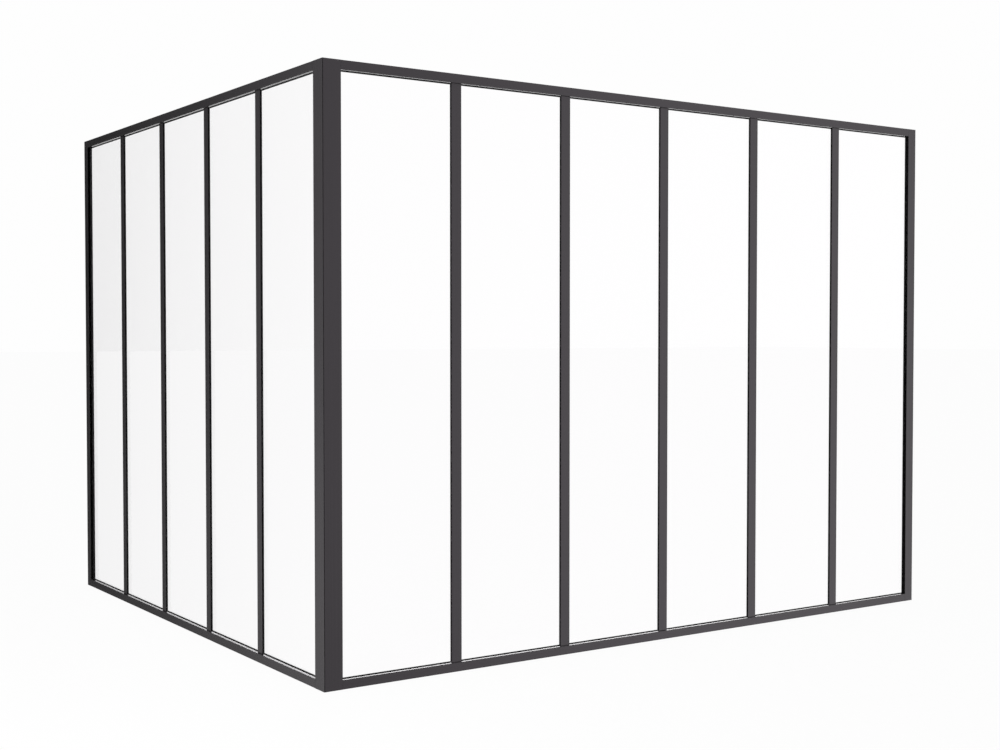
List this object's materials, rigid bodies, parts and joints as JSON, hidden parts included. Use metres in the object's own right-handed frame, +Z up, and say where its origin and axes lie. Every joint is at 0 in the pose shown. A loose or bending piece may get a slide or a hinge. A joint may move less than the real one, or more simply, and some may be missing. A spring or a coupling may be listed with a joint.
{
  "type": "corner glass partition",
  "caption": "Corner partition of two slim black-framed glazed screens at a right angle, with upright glazing bars on the outer face and clear panes.",
  "frame": {"origin": "foot of the outer corner, where the outer faces of the two screens meet at floor level", "axes": "+X along the six-pane screen away from the corner, +Y along the five-pane screen away from the corner, +Z up"},
  "size_m": [1.8292, 1.532, 1.308],
  "materials": {
    "frame": "satin powder coat",
    "bar": "satin powder coat",
    "bead": "satin powder coat",
    "seal": "matt",
    "plug": "matt",
    "glass": "clear"
  },
  "bodies": {
    "root": {"corner_angle": "frame", "right_top_rail": "frame", "right_bottom_rail": "frame", "right_corner_stile": "frame", "right_end_stile": "frame", "right_top_bead": "bead", "right_bottom_bead": "bead", "right_corner_bead": "bead", "right_end_bead": "bead", "right_pane_seals": "seal", "right_stile_plugs": "plug", "left_top_rail": "frame", "left_bottom_rail": "frame", "left_corner_stile": "frame", "left_end_stile": "frame", "left_top_bead": "bead", "left_bottom_bead": "bead", "left_corner_bead": "bead", "left_end_bead": "bead", "left_pane_seals": "seal", "left_stile_plugs": "plug", "right_bar_1": "bar", "right_bar_2": "bar", "right_bar_3": "bar", "right_bar_4": "bar", "right_bar_5": "bar", "left_bar_1": "bar", "left_bar_2": "bar", "left_bar_3": "bar", "left_bar_4": "bar", "right_glass_1": "glass", "right_glass_2": "glass", "right_glass_3": "glass", "right_glass_4": "glass", "right_glass_5": "glass", "right_glass_6": "glass", "left_glass_1": "glass", "left_glass_2": "glass", "left_glass_3": "glass", "left_glass_4": "glass", "left_glass_5": "glass"}
  },
  "joints": []
}
